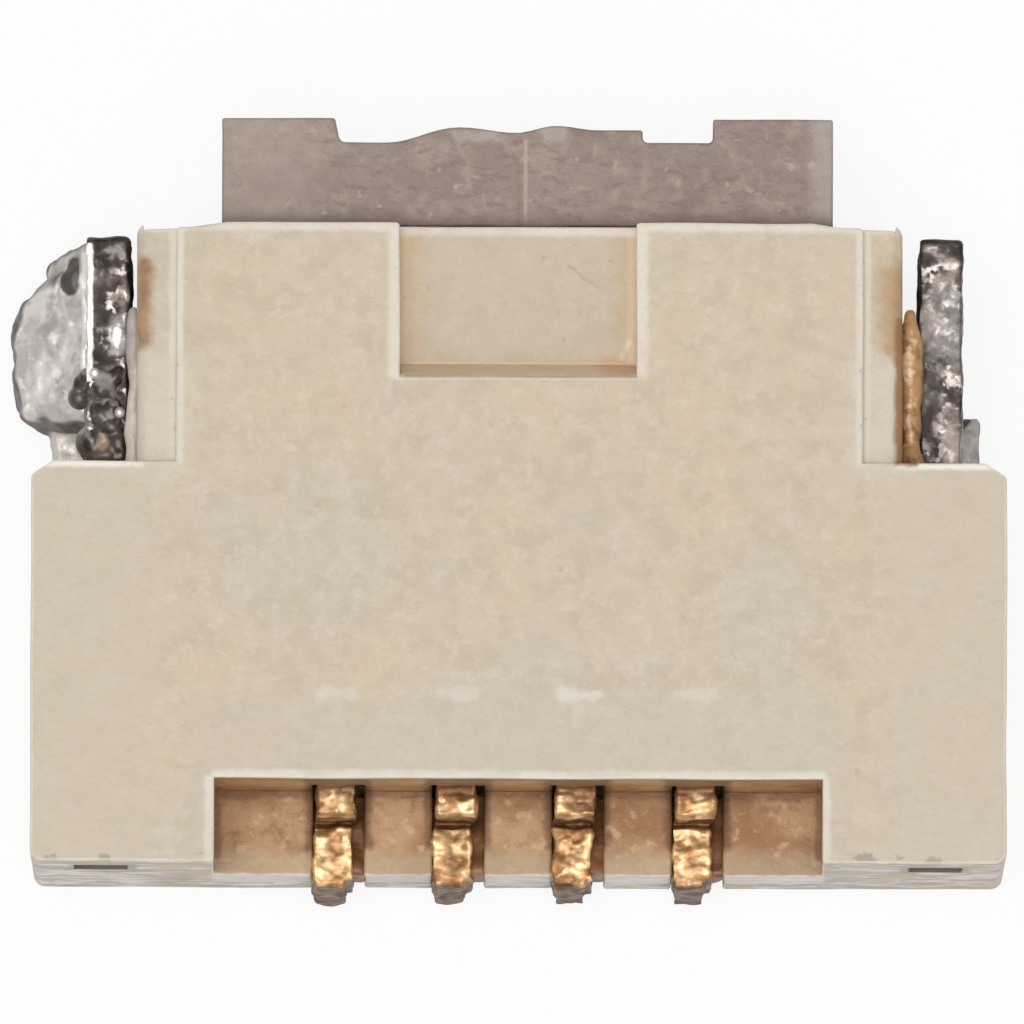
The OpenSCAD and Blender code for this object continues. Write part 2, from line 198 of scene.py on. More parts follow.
class Finish:
    """One material, with patterns laid out in millimetres on the object itself."""

    def __init__(self, name, roughness=0.5, metallic=0.0):
        self.material = bpy.data.materials.new(name)
        self.material.use_nodes = True
        self.nodes = self.material.node_tree.nodes
        self.links = self.material.node_tree.links
        self.shader = self.nodes["Principled BSDF"]
        self.shader.inputs["Roughness"].default_value = roughness
        self.shader.inputs["Metallic"].default_value = metallic
        place = self.nodes.new("ShaderNodeTexCoord")
        self.place = self.vector("SCALE", place.outputs["Object"], scale=1 / MM)
        drift = self.nodes.new("ShaderNodeTexNoise")
        self.put(drift, "Vector", self.place)
        self.put(drift, "Scale", 7.0)
        self.put(drift, "Detail", 4.0)
        self.put(drift, "Roughness", 0.62)
        self.drift = self.vector("SUBTRACT", drift.outputs["Color"], (0.5, 0.5, 0.5))

    def put(self, node, socket, value):
        """Sets an input, from a number, a colour or another node's output."""
        if isinstance(value, bpy.types.NodeSocket):
            self.links.new(value, node.inputs[socket])
        else:
            node.inputs[socket].default_value = value

    def vector(self, operation, a, b=None, scale=None):
        node = self.nodes.new("ShaderNodeVectorMath")
        node.operation = operation
        self.put(node, 0, a)
        if b is not None:
            self.put(node, 1, b)
        if scale is not None:
            self.put(node, "Scale", scale)
        return node.outputs["Value" if operation in ("LENGTH", "DOT_PRODUCT") else "Vector"]

    def math(self, operation, a, b=0.0, clamp=False):
        node = self.nodes.new("ShaderNodeMath")
        node.operation = operation
        node.use_clamp = clamp
        self.put(node, 0, a)
        self.put(node, 1, b)
        return node.outputs[0]

    def step(self, value, low, high, to_low=0.0, to_high=1.0):
        """Eases value from to_low at low to to_high at high."""
        node = self.nodes.new("ShaderNodeMapRange")
        node.interpolation_type = "SMOOTHSTEP"
        for socket, number in (("Value", value), ("From Min", low), ("From Max", high),
                               ("To Min", to_low), ("To Max", to_high)):
            self.put(node, socket, number)
        return node.outputs["Result"]

    def cloud(self, per_mm, detail=2.0, stretch=(1, 1, 1), seed=0.0, roughness=0.5):
        """Noise with about per_mm features to the millimetre."""
        node = self.nodes.new("ShaderNodeTexNoise")
        moved = self.vector("ADD", self.vector("MULTIPLY", self.place, stretch), (seed, seed * 0.7, -seed))
        self.put(node, "Vector", moved)
        self.put(node, "Scale", per_mm)
        self.put(node, "Detail", detail)
        self.put(node, "Roughness", roughness)
        return node.outputs["Fac"]

    def specks(self, per_mm, size, seed=0.0, ragged=0.05):
        """Sparse irregular specks, size being their share of the space between them."""
        node = self.nodes.new("ShaderNodeTexVoronoi")
        moved = self.vector("ADD", self.moved(ragged), (seed, -seed, seed))
        self.put(node, "Vector", moved)
        self.put(node, "Scale", per_mm)
        return self.step(node.outputs["Distance"], size, size * 0.4)

    def moved(self, ragged):
        """The place, shifted to and fro by up to about ragged millimetres."""
        if not ragged:
            return self.place
        return self.vector("ADD", self.place, self.vector("SCALE", self.drift, scale=3 * ragged))

    def within(self, low, high, soft, ragged=0.0):
        """1 inside a box, easing to 0 over soft millimetres, with a ragged border."""
        place = self.moved(ragged)
        under = self.vector("SUBTRACT", low, place)
        over = self.vector("SUBTRACT", place, high)
        out = self.vector("MAXIMUM", self.vector("MAXIMUM", under, over), (0, 0, 0))
        return self.step(self.vector("LENGTH", out), 0.0, soft, 1.0, 0.0)

    def stroke(self, start, end, half_width, soft, ragged=0.0):
        """1 along a straight stroke, easing to 0 over soft millimetres; a dot if start is end."""
        start, run = Vector(start), Vector(end) - Vector(start)
        place = self.vector("SUBTRACT", self.moved(ragged), start)
        if run.length > 0:
            along = self.vector("DOT_PRODUCT", place, run)
            along = self.math("DIVIDE", along, run.length_squared, clamp=True)
            place = self.vector("SUBTRACT", place, self.vector("SCALE", run, scale=along))
        return self.step(self.vector("LENGTH", place), half_width, half_width + soft, 1.0, 0.0)

    def any_of(self, masks):
        whole = masks[0]
        for mask in masks[1:]:
            whole = self.math("MAXIMUM", whole, mask)
        return whole

    def mix(self, share, a, b):
        """Goes from a to b as share goes from 0 to 1."""
        node = self.nodes.new("ShaderNodeMix")
        node.data_type = "RGBA"
        self.put(node, 0, share)
        self.put(node, 6, a)
        self.put(node, 7, b)
        return node.outputs[2]

    def coat(self, under, mask, strength, paint):
        """Paint over a colour, where mask allows it."""
        return self.mix(self.math("MULTIPLY", mask, strength), under, paint)

    def attribute(self, name):
        node = self.nodes.new("ShaderNodeAttribute")
        node.attribute_name = name
        return node.outputs["Fac"]

    def relief(self, height, depth, under=None):
        """Bump whose full height is depth, in millimetres."""
        node = self.nodes.new("ShaderNodeBump")
        node.inputs["Distance"].default_value = depth * MM
        self.put(node, "Height", height)
        if under is not None:
            self.put(node, "Normal", under)
        return node.outputs["Normal"]

    def finish(self, colour, normal=None, roughness=None):
        self.put(self.shader, "Base Color", colour)
        if normal is not None:
            self.put(self.shader, "Normal", normal)
        if roughness is not None:
            self.put(self.shader, "Roughness", roughness)
        return self.material


# ---------------------------------------------------------------- finishes

def housing_base(f):
    """Mottled cream."""
    broad = f.cloud(0.8, 3, seed=2)
    patch = f.cloud(3.4, 4, seed=4, roughness=0.6)
    grain = f.cloud(9, 4, seed=9, roughness=0.65)
    colour = f.mix(f.step(broad, 0.35, 0.65), tone(203, 186, 161), tone(197, 186, 167))
    colour = f.coat(colour, f.step(patch, 0.42, 0.7), 0.65, tone(188, 175, 153))
    colour = f.coat(colour, f.step(grain, 0.45, 0.7), 0.6, tone(210, 199, 182))
    colour = f.coat(colour, f.specks(1.6, 0.06, ragged=0.03), 0.3, tone(160, 144, 122))
    # Greyer towards the sides and around the tail recess
    for side in (-1, 1):
        inner, outer = sorted((side * (FRONT_HALF + 0.1), side * HOUSING_HI.x))
        flank = f.within((inner, REAR, 0), (outer, SHOULDER, TOP), 0.5, 0.1)
        colour = f.coat(colour, flank, 0.6, tone(198, 188, 170))
    around = f.within((-RECESS_HALF, REAR, TOP - 0.1), (RECESS_HALF, RECESS_WALL + 0.5, TOP), 0.4, 0.1)
    return f.coat(colour, around, 0.45, tone(196, 187, 172))


def roof_marks(f, colour):
    """Faint pale smudges, one over each contact."""
    for count, name in enumerate(CONTACTS):
        lo, hi = box_mm(name)
        x = (lo.x + hi.x) / 2 + 0.03
        strength = 0.6 if count == 2 else 0.35
        mark = f.within((x - 0.14, -1.29, TOP - 0.1), (x + 0.14, -1.26, TOP + 0.1), 0.07, 0.06)
        colour = f.coat(colour, mark, strength, tone(222, 216, 206))
        tail = f.within((x, -1.5, TOP - 0.1), (x + 0.01, -1.3, TOP + 0.1), 0.07, 0.06)
        colour = f.coat(colour, tail, strength * 0.5, tone(216, 208, 196))
    return colour


def pocket_paint(f, colour):
    """The pocket: a little darker, yellower along its sides, with pale yellow painted light along its side
    walls and on its ramp, specked and scratched.
    """
    inside = f.within((POCKET_L, POCKET_BACK, POCKET_Z - 0.1), (POCKET_R, FRONT, TOP - 0.03), 0.02)
    colour = f.coat(colour, inside, 0.45, tone(190, 176, 155))
    middle = f.within((POCKET_L + 0.3, POCKET_BACK + 0.3, 0), (POCKET_R - 0.3, FRONT, TOP), 0.2, 0.15)
    sides = f.math("MULTIPLY", inside, f.step(middle, 0, 1, 1, 0))
    sides = f.math("MULTIPLY", sides, f.step(f.cloud(4, 3, seed=9), 0.3, 0.6))
    colour = f.coat(colour, sides, 0.7, tone(194, 172, 138))
    # Painted light along the foot of the side walls
    wall_painted_light = f.any_of([
        f.within((x - 0.03, POCKET_BACK + POCKET_RAMP, 0), (x + 0.03, FRONT - 0.05, TOP - 0.05), 0.07)
        for x in (POCKET_L, POCKET_R)])
    colour = f.coat(colour, f.math("MULTIPLY", wall_painted_light, inside), 0.8, tone(216, 195, 164))
    # Painted light on the ramp at the back
    low = (POCKET_L + 0.03, POCKET_BACK, POCKET_Z)
    high = (POCKET_R, POCKET_BACK + POCKET_RAMP, TOP - 0.04)
    ramp_painted_light = f.within(low, high, 0.02, 0.01)
    colour = f.coat(colour, ramp_painted_light, 0.85, tone(214, 190, 158))
    smudge = f.within((0.72, POCKET_BACK + 0.06, POCKET_Z), (0.93, POCKET_BACK + 0.14, TOP), 0.08, 0.05)
    colour = f.coat(colour, smudge, 0.5, tone(204, 152, 116))
    y = POCKET_BACK + 0.22
    glint = f.stroke((0.84, y, POCKET_Z), (0.91, y + 0.1, POCKET_Z), 0.008, 0.035, 0.05)
    colour = f.coat(colour, glint, 0.6, tone(232, 218, 194))
    dots = f.math("MULTIPLY", f.specks(5, 0.14, 3, 0.05), inside)
    colour = f.coat(colour, dots, 0.35, tone(158, 138, 112))
    scratch = f.stroke((0.41, FRONT - 0.33, POCKET_Z), (0.66, FRONT - 0.5, POCKET_Z), 0.002, 0.022, 0.04)
    return f.coat(colour, scratch, 0.3, tone(140, 118, 92))


def recess_paint(f, colour):
    """The tail recess: soaked with brown flux, greyer at the rear, darkest in its corners, and with painted
    shade in the slots beside the tails.
    """
    low = (-RECESS_HALF, REAR + 0.02, RECESS_Z - 0.7)
    high = (RECESS_HALF, RECESS_WALL + 0.04, TOP - 0.05)
    soaked = f.within(low, high, 0.02, 0.012)
    murk = f.mix(f.step(f.cloud(2.2, 4, seed=7), 0.38, 0.62), tone(158, 112, 68), tone(190, 150, 108))
    murk = f.coat(murk, f.step(f.cloud(7, 4, seed=3, roughness=0.7), 0.5, 0.68), 0.6, tone(138, 94, 56))
    murk = f.coat(murk, f.step(f.cloud(8, 3, seed=13), 0.55, 0.68), 0.6, tone(212, 178, 138))
    low = (-RECESS_HALF, REAR - 0.1, RECESS_Z - 0.1)
    high = (RECESS_HALF, REAR + 0.1, RECESS_Z + 0.1)
    pale = f.within(low, high, 0.2, 0.08)
    murk = f.coat(murk, pale, 0.6, tone(186, 166, 138))
    band = f.within((-3, RECESS_WALL - 0.03, RECESS_Z + 0.15), (3, RECESS_WALL + 0.1, TOP), 0.1, 0.04)
    murk = f.coat(murk, band, 0.45, tone(160, 112, 64))
    colour = f.coat(colour, soaked, 0.97, murk)
    # Darker lines along the foot of the side walls and of the back wall
    z = RECESS_Z - 0.02
    lines = [
        f.within((x - 0.02, REAR + 0.15, z), (x + 0.02, RECESS_WALL, z + 0.32), 0.04, 0.02)
        for x in (-RECESS_HALF + 0.01, RECESS_HALF - 0.01)]
    lines.append(f.within(
        (-RECESS_HALF, RECESS_WALL - 0.03, z), (RECESS_HALF, RECESS_WALL, z + 0.14), 0.05, 0.04))
    colour = f.coat(colour, f.any_of(lines), 0.5, tone(104, 64, 34))
    # Painted shade down in the slots beside the tails
    slot_shade_marks = [
        f.within((lo.x - 0.03, REAR + 0.25, 0), (hi.x + 0.1, RECESS_WALL, TOP - 0.15), 0.07, 0.04)
        for lo, hi in map(box_mm, CONTACTS)]
    slot_shade = f.math("MULTIPLY", f.any_of(slot_shade_marks), soaked)
    return f.coat(colour, slot_shade, 0.7, tone(92, 58, 32))


def rear_paint(f, colour):
    """Rear faces: lilac-grey, scuffed and stained, with painted shade in the nail slits and a painted
    highlight on the lower face under the recess.
    """
    rear = f.within((HOUSING_LO.x, REAR - 1, 0), (HOUSING_HI.x, REAR + 0.012, TOP - 0.03), 0.02, 0.006)
    streaks = f.cloud(3.5, 4, stretch=(0.6, 1, 1.4), seed=5, roughness=0.65)
    grey = f.mix(f.step(streaks, 0.4, 0.6), tone(176, 165, 158), tone(224, 217, 212))
    grey = f.coat(grey, f.step(f.cloud(2.2, 3, seed=21), 0.54, 0.64), 0.75, tone(186, 172, 140))
    grey = f.coat(grey, f.step(f.cloud(7, 3, seed=24), 0.57, 0.68), 0.55, tone(150, 138, 130))
    colour = f.coat(colour, rear, 0.9, grey)
    # Paler lower rear face under the recess: its own pale tone, with a painted highlight
    foot = f.within((-RECESS_HALF, REAR - 1, 0.6), (RECESS_HALF, REAR + 0.012, RECESS_Z + 0.02), 0.05, 0.03)
    colour = f.coat(colour, foot, 0.6, tone(224, 218, 216))
    around, inside = [], []
    z0, z1 = NAIL_SLOT_Z
    for side in (-1, 1):
        x0, x1 = sorted((side * NAIL_SLOT[0], side * NAIL_SLOT[1]))
        around.append(f.within((x0 - 0.02, REAR - 0.1, z0), (x1 + 0.02, REAR + 0.1, z1), 0.07, 0.08))
        inside.append(f.within((x0, REAR + 0.003, z0), (x1, SHOULDER - 0.02, z1), 0.01))
    # Darker around the mouths of the nail slits, and painted shade inside them
    colour = f.coat(colour, f.any_of(around), 0.5, tone(138, 127, 120))
    colour = f.coat(colour, f.any_of(inside), 0.9, tone(112, 98, 88))
    scuffs = f.within((HOUSING_LO.x, REAR, TOP - 0.02), (HOUSING_HI.x, REAR + 0.05, TOP), 0.04, 0.05)
    scuffs = f.math("MULTIPLY", scuffs, f.step(f.cloud(4.5, 3, seed=31), 0.54, 0.62))
    return f.coat(colour, scuffs, 0.6, tone(140, 128, 112))


def ledge_paint(f, colour):
    """Ledges beside the front section: pale, with flux stains spreading from the nails."""
    for side in (-1, 1):
        inner, outer = sorted((side * (FRONT_HALF - LEDGE), side * FRONT_HALF))
        low = (inner, SHOULDER, LEDGE_Z - 0.5)
        high = (outer, SHOULDER + 0.8, LEDGE_Z + 0.02)
        pale = f.within(low, high, 0.25, 0.1)
        colour = f.coat(colour, pale, 0.6, tone(209, 201, 186))
        grit = f.math("MULTIPLY", f.specks(8, 0.2, side, 0.06), pale)
        colour = f.coat(colour, grit, 0.4, tone(160, 146, 126))
    left = f.stroke((-3.16, SHOULDER + 1.03, LEDGE_Z), (-3.15, SHOULDER + 1.62, LEDGE_Z), 0.04, 0.1, 0.04)
    right = f.stroke((3.17, SHOULDER + 1.05, LEDGE_Z), (3.15, SHOULDER + 1.52, LEDGE_Z), 0.05, 0.22, 0.05)
    streak = f.stroke((3.08, SHOULDER + 0.98, LEDGE_Z), (3.18, SHOULDER + 0.8, LEDGE_Z), 0.015, 0.05, 0.03)
    seam = f.within((3.15, SHOULDER, 1.0), (3.3, SHOULDER + 1.2, TOP), 0.05, 0.02)
    rust = f.mix(f.step(f.cloud(5, 3, seed=17), 0.35, 0.65), tone(142, 98, 60), tone(172, 130, 90))
    colour = f.coat(colour, left, 0.85, rust)
    colour = f.coat(colour, right, 0.75, f.mix(0.4, rust, tone(190, 155, 115)))
    colour = f.coat(colour, streak, 0.5, tone(176, 140, 100))
    return f.coat(colour, seam, 0.9, tone(150, 108, 66))


def edge_paint(f, colour):
    """Paler edges: painted highlight where the rounded edges catch the light, together with some wear."""
    patchy = f.step(f.cloud(3, 3, seed=2), 0.3, 0.6, 0.6, 1.0)
    # Painted highlight, with some wear, on the rounded edges
    colour = f.coat(colour, f.math("MULTIPLY", f.attribute("worn"), patchy), 0.7, tone(226, 219, 206))
    roof = TOP - 0.06
    # Painted highlight along the front edge, the pocket's side edges and the recess edges
    bands = [
        f.within((-FRONT_HALF, FRONT - 0.05, POCKET_Z - 0.05), (FRONT_HALF, FRONT + 0.1, TOP), 0.05, 0.015),
        f.within((POCKET_L - 0.06, POCKET_BACK + 0.03, roof), (POCKET_L, FRONT, TOP), 0.07, 0.015),
        f.within((POCKET_R, POCKET_BACK + 0.03, roof), (POCKET_R + 0.06, FRONT, TOP), 0.07, 0.015),
        f.within((-RECESS_HALF - 0.05, REAR, roof), (-RECESS_HALF, RECESS_WALL, TOP), 0.05, 0.02),
        f.within((RECESS_HALF, REAR, roof), (RECESS_HALF + 0.04, RECESS_WALL, TOP), 0.05, 0.02),
        f.within((-RECESS_HALF, RECESS_WALL, roof), (RECESS_HALF, RECESS_WALL + 0.04, TOP), 0.05, 0.02)]
    colour = f.coat(colour, f.math("MULTIPLY", f.any_of(bands), patchy), 0.7, tone(226, 219, 207))
    # Painted highlight on the top edges of the shoulders
    shoulders = [
        f.within((min(a, b), SHOULDER - 0.03, roof), (max(a, b), SHOULDER + 0.1, TOP), 0.05, 0.01)
        for a, b in ((-4, -3.15), (3.15, 3.95))]
    colour = f.coat(colour, f.any_of(shoulders), 0.9, tone(240, 234, 224))
    # Painted highlight over the ledge steps
    steps = [
        f.within((x - 0.035, SHOULDER, TOP - 0.12), (x + 0.035, FRONT, TOP), 0.05, 0.015)
        for x in (-FRONT_HALF + LEDGE, FRONT_HALF - LEDGE)]
    return f.coat(colour, f.any_of(steps), 0.75, tone(222, 214, 201))


def housing_plastic():
    """Cream moulding, mottled, whiter on its edges with wear and painted highlight, with brown flux stains,
    and with painted light and shade in places.
    """
    f = Finish("housing_plastic", roughness=0.6)
    colour = roof_marks(f, housing_base(f))
    colour = pocket_paint(f, colour)
    colour = rear_paint(f, colour)
    colour = edge_paint(f, colour)
    colour = ledge_paint(f, colour)
    colour = recess_paint(f, colour)
    bumps = f.relief(f.cloud(6, 4, seed=5, roughness=0.6), 0.02)
    bumps = f.relief(f.cloud(24, 3, seed=6), 0.005, bumps)
    return f.finish(colour, bumps)


def slider_plastic():
    """Grey-brown moulding, mottled, with a fine pale line along its middle."""
    f = Finish("slider_plastic", roughness=0.52)
    broad = f.cloud(1.3, 3, seed=3)
    patch = f.cloud(6, 4, seed=6, roughness=0.62)
    grain = f.cloud(13, 4, stretch=(0.6, 1.2, 1), seed=1, roughness=0.65)
    colour = f.mix(f.step(broad, 0.35, 0.65), tone(147, 128, 118), tone(136, 118, 108))
    colour = f.coat(colour, f.step(patch, 0.46, 0.66), 0.6, tone(162, 147, 135))
    colour = f.coat(colour, f.step(grain, 0.48, 0.66), 0.6, tone(120, 101, 92))
    colour = f.coat(colour, f.specks(5, 0.2, 5, 0.08), 0.6, tone(180, 164, 150))
    colour = f.coat(colour, f.specks(1.9, 0.08, 8, 0.04), 0.7, tone(200, 180, 160))
    # Lighter left ear and right flank
    left = f.within((SLIDER_LO.x, FRONT, 0), (SLIDER_LO.x + 0.8, FRONT + 1, TOP), 0.5, 0.1)
    colour = f.coat(colour, left, 0.5, tone(164, 150, 138))
    flank = f.within((SLIDER_HI.x - 0.34, FRONT, 0), (SLIDER_HI.x - 0.15, FRONT + 1, TOP), 0.16, 0.05)
    colour = f.coat(colour, flank, 0.6, tone(170, 160, 154))
    # Mould line with painted shade beside it, wear and a painted highlight along the crown, painted shadow
    # at the joint
    line = f.within((0.04, FRONT, 0), (0.048, FRONT + 0.75, TOP), 0.022, 0.003)
    colour = f.coat(colour, line, 0.6, tone(182, 166, 152))
    # Painted shade along one side of the mould line
    shade = f.within((-0.02, FRONT, 0), (-0.01, FRONT + 0.6, TOP), 0.03, 0.01)
    colour = f.coat(colour, shade, 0.35, tone(116, 98, 88))
    # Wear, and a painted highlight, along the crown
    worn = f.any_of([
        f.within((-0.5, FRONT + 0.77, 0), (-0.25, FRONT + 0.8, TOP), 0.09, 0.06),
        f.within((0.2, FRONT + 0.79, 0), (0.34, FRONT + 0.82, TOP), 0.08, 0.05)])
    colour = f.coat(colour, worn, 0.5, tone(180, 170, 164))
    # Painted shadow where the head meets the housing
    joint_shadow = f.within((-5, FRONT - 0.2, 0), (5, FRONT + 0.02, TOP), 0.16, 0.015)
    colour = f.coat(colour, joint_shadow, 0.8, tone(100, 82, 72))
    # Its rounded edges a little darker
    colour = f.coat(colour, f.attribute("worn"), 0.25, tone(120, 106, 98))
    bumps = f.relief(f.cloud(5, 4, seed=8, roughness=0.6), 0.02)
    bumps = f.relief(f.cloud(26, 3, seed=4), 0.006, bumps)
    return f.finish(colour, bumps)


def gold_plate():
    """Gold on a rough sheared edge, browned by flux near the wall and in its folds, with painted shade low
    down in the slots, on the steps' rear faces and on the toes.
    """
    f = Finish("gold_plate", roughness=0.42, metallic=0.55)
    broad = f.cloud(4.5, 3, stretch=(1, 1.3, 1), seed=2)
    fine = f.cloud(11, 3, seed=5)
    colour = f.mix(f.step(broad, 0.38, 0.62), tone(168, 124, 78), tone(236, 198, 146))
    colour = f.coat(colour, f.step(fine, 0.54, 0.66), 0.6, tone(128, 86, 48))
    colour = f.coat(colour, f.step(f.cloud(9, 3, seed=16), 0.58, 0.66), 0.8, tone(248, 222, 180))
    colour = f.coat(colour, f.attribute("hollow"), 0.5, tone(104, 66, 36))
    # Painted shade low down, in the slots
    flank = f.within((-5, REAR, 0), (5, RECESS_WALL + 1, 1.12), 0.05)
    colour = f.coat(colour, flank, 0.6, tone(124, 84, 52))
    wall = f.within((-5, RECESS_WALL - 0.08, 0), (5, RECESS_WALL + 1, TOP), 0.05, 0.05)
    colour = f.coat(colour, wall, 0.75, tone(116, 76, 44))
    # Painted shade on the rear face of the step
    step_shade = f.within((-5, RECESS_WALL - 0.29, 0), (5, RECESS_WALL - 0.255, 1.6), 0.03, 0.01)
    colour = f.coat(colour, step_shade, 0.8, tone(92, 56, 30))
    # Painted shade on the toes, which face away from the light
    toe_shade = f.within((-5, REAR - 1, 0), (5, REAR - 0.045, 1.26), 0.03, 0.015)
    colour = f.coat(colour, toe_shade, 0.9, tone(84, 56, 36))
    return f.finish(colour, f.relief(broad, 0.02), f.step(fine, 0.3, 0.7, 0.34, 0.52))


def nail_metal():
    """Dark tinned sheet with burnt flux, patched and specked with bright solder."""
    f = Finish("nail_metal", roughness=0.42, metallic=0.6)
    patch = f.cloud(4.5, 3, seed=1)
    speck = f.cloud(8, 3, seed=8)
    colour = f.mix(f.step(patch, 0.4, 0.62), tone(52, 43, 38), tone(122, 112, 106))
    colour = f.coat(colour, f.step(speck, 0.54, 0.64), 0.7, tone(164, 154, 148))
    colour = f.coat(colour, f.step(f.cloud(11, 2, seed=12), 0.62, 0.7), 0.8, tone(214, 206, 200))
    colour = f.coat(colour, f.step(f.cloud(4, 3, seed=4), 0.54, 0.66), 0.75, tone(42, 34, 29))
    # Darkest along the left nail's outer half, and low on the right nail
    x, y = PLATE_L, SHOULDER
    dark = f.any_of([
        f.within((x + 0.05, y + 0.8, 1), (x + 0.14, y + 1.9, 3), 0.05, 0.03),
        f.within((NAIL_R_LO.x, y, 1), (NAIL_R_LO.x + 0.12, y + 0.85, 3), 0.08, 0.05),
        f.within((NAIL_L_LO.x, y + 1.75, 1), (NAIL_R_HI.x, y + 1.95, 3), 0.05, 0.03)])
    colour = f.coat(colour, dark, 0.75, tone(48, 40, 35))
    light = f.any_of([
        f.within((NAIL_L_HI.x - 0.14, y + 0.95, 1), (NAIL_L_HI.x, y + 1.25, 3), 0.05, 0.04),
        f.within((NAIL_R_LO.x + 0.08, y + 0.95, 1), (NAIL_R_LO.x + 0.3, y + 1.45, 3), 0.09, 0.08)])
    colour = f.coat(colour, light, 0.55, tone(150, 143, 140))
    glint = f.stroke((NAIL_L_HI.x - 0.1, y + 1.0, 2), (NAIL_L_HI.x - 0.1, y + 1.16, 2.1), 0.02, 0.03, 0.02)
    colour = f.coat(colour, glint, 0.9, tone(238, 232, 226))
    scum = f.within((3.55, y, 1), (4, y + 0.3, 3), 0.05, 0.04)
    colour = f.coat(colour, scum, 0.75, tone(152, 138, 130))
    # Whitish rim along the plate's outer top edge: bright solder with a painted highlight
    rim = f.within((x - 0.1, y + 0.72, 1.5), (x + 0.035, y + 1.85, 3), 0.025, 0.012)
    colour = f.coat(colour, rim, 0.95, tone(236, 230, 222))
    return f.finish(colour, f.relief(patch, 0.03), f.step(speck, 0.4, 0.65, 0.55, 0.3))


def dull_solder():
    """Wrinkled pale solder, dark in its pits, with a painted dark reflection on its steep rim."""
    f = Finish("dull_solder", roughness=0.45, metallic=0.25)
    broad = f.cloud(2.6, 4, seed=6, roughness=0.6)
    fine = f.cloud(7, 4, seed=2, roughness=0.6)
    colour = f.mix(f.step(broad, 0.4, 0.6), tone(226, 219, 214), tone(198, 189, 184))
    colour = f.coat(colour, f.step(fine, 0.5, 0.66), 0.65, tone(168, 157, 152))
    colour = f.coat(colour, f.step(f.cloud(6, 3, seed=15), 0.56, 0.66), 0.85, tone(244, 240, 236))
    x, y = PLATE_L, SHOULDER
    # Painted dark reflection on the steep faces of the lump
    colour = f.coat(colour, f.step(f.attribute("steep"), 0.35, 0.75), 0.85, tone(74, 65, 59))
    coat = f.within((x - 0.45, y - 0.1, 0), (x, y + 0.35, 2), 0.12, 0.05)
    colour = f.coat(colour, coat, 0.8, tone(226, 220, 213))
    # Whitish rim where the lump meets the plate: bright solder with a painted highlight
    rim = f.within((x - 0.05, y + 0.75, 0.6), (x + 0.01, y + 1.9, 2), 0.02, 0.012)
    colour = f.coat(colour, rim, 0.95, tone(242, 238, 232))
    pits = f.any_of([
        f.stroke((x - 0.17, y + 1.84, 0.9), (x - 0.17, y + 1.64, 0.9), 0.075, 0.03, 0.015),
        f.stroke((x - 0.41, y + 1.14, 0.65), (x - 0.41, y + 1.14, 0.65), 0.015, 0.04, 0.02),
        f.stroke((x - 0.41, y + 1.0, 0.65), (x - 0.41, y + 1.0, 0.65), 0.015, 0.04, 0.02),
        f.stroke((x - 0.52, y + 1.42, 0.5), (x - 0.55, y + 1.25, 0.5), 0.03, 0.05, 0.02)])
    colour = f.coat(colour, pits, 0.92, tone(62, 53, 46))
    bumps = f.relief(f.cloud(5, 4, seed=3), 0.03)
    return f.finish(colour, bumps, f.step(fine, 0.3, 0.7, 0.36, 0.55))


def bead_solder():
    """Bright solder of the small beads."""
    f = Finish("bead_solder", roughness=0.25, metallic=0.7)
    colour = f.mix(f.step(f.cloud(6, 2, seed=3), 0.4, 0.6), tone(246, 242, 236), tone(226, 219, 210))
    return f.finish(colour, f.relief(f.cloud(9, 2, seed=2), 0.01))


def clear_flux():
    """Brown glassy flux."""
    f = Finish("clear_flux", roughness=0.25)
    colour = f.mix(f.step(f.cloud(5, 3, seed=1), 0.35, 0.65), tone(148, 104, 62), tone(186, 142, 98))
    colour = f.coat(colour, f.step(f.cloud(7, 2, seed=6), 0.58, 0.66), 0.7, tone(228, 196, 152))
    colour = f.coat(colour, f.step(f.cloud(6, 3, seed=9), 0.56, 0.68), 0.7, tone(104, 70, 42))
    x = FRONT_HALF + 0.075
    glints = f.any_of([
        f.stroke((x, SHOULDER + at, 2.1), (x, SHOULDER + at + 0.03, 2.1), 0.015, 0.03, 0.01)
        for at in (0.5, 0.72, 0.98)])
    colour = f.coat(colour, glints, 0.9, tone(250, 232, 200))
    return f.finish(colour, f.relief(f.cloud(7, 3, seed=2), 0.02))


def pale_flux():
    """Whitish dried flux, with grey tin in its front part."""
    f = Finish("pale_flux", roughness=0.45)
    colour = f.mix(f.step(f.cloud(5, 3, seed=1), 0.35, 0.65), tone(212, 205, 194), tone(192, 182, 168))
    tin = f.within((-5, SHOULDER + 0.85, 0), (0, SHOULDER + 2, TOP), 0.1, 0.06)
    colour = f.coat(colour, tin, 0.8, tone(166, 154, 148))
    return f.finish(colour, f.relief(f.cloud(9, 3, seed=2), 0.02))


def burnt_flux():
    """Nearly black, glossy flux with greyer tin under it."""
    f = Finish("burnt_flux", roughness=0.28)
    fine = f.cloud(6, 3, seed=4)
    colour = f.mix(f.step(f.cloud(4, 3, seed=5), 0.4, 0.6), tone(44, 34, 28), tone(84, 72, 64))
    colour = f.coat(colour, f.step(fine, 0.54, 0.66), 0.8, tone(146, 135, 128))
    x, y = PLATE_L + 0.15, SHOULDER
    amber = f.stroke((x, y + 0.1, 2), (x - 0.01, y + 0.22, 2.1), 0.025, 0.05, 0.03)
    colour = f.coat(colour, amber, 0.8, tone(164, 140, 112))
    grey = f.stroke((x + 0.02, y + 0.62, 2), (x - 0.02, y + 0.74, 2.1), 0.05, 0.05, 0.03)
    colour = f.coat(colour, grey, 0.7, tone(170, 160, 154))
    return f.finish(colour, f.relief(fine, 0.015))


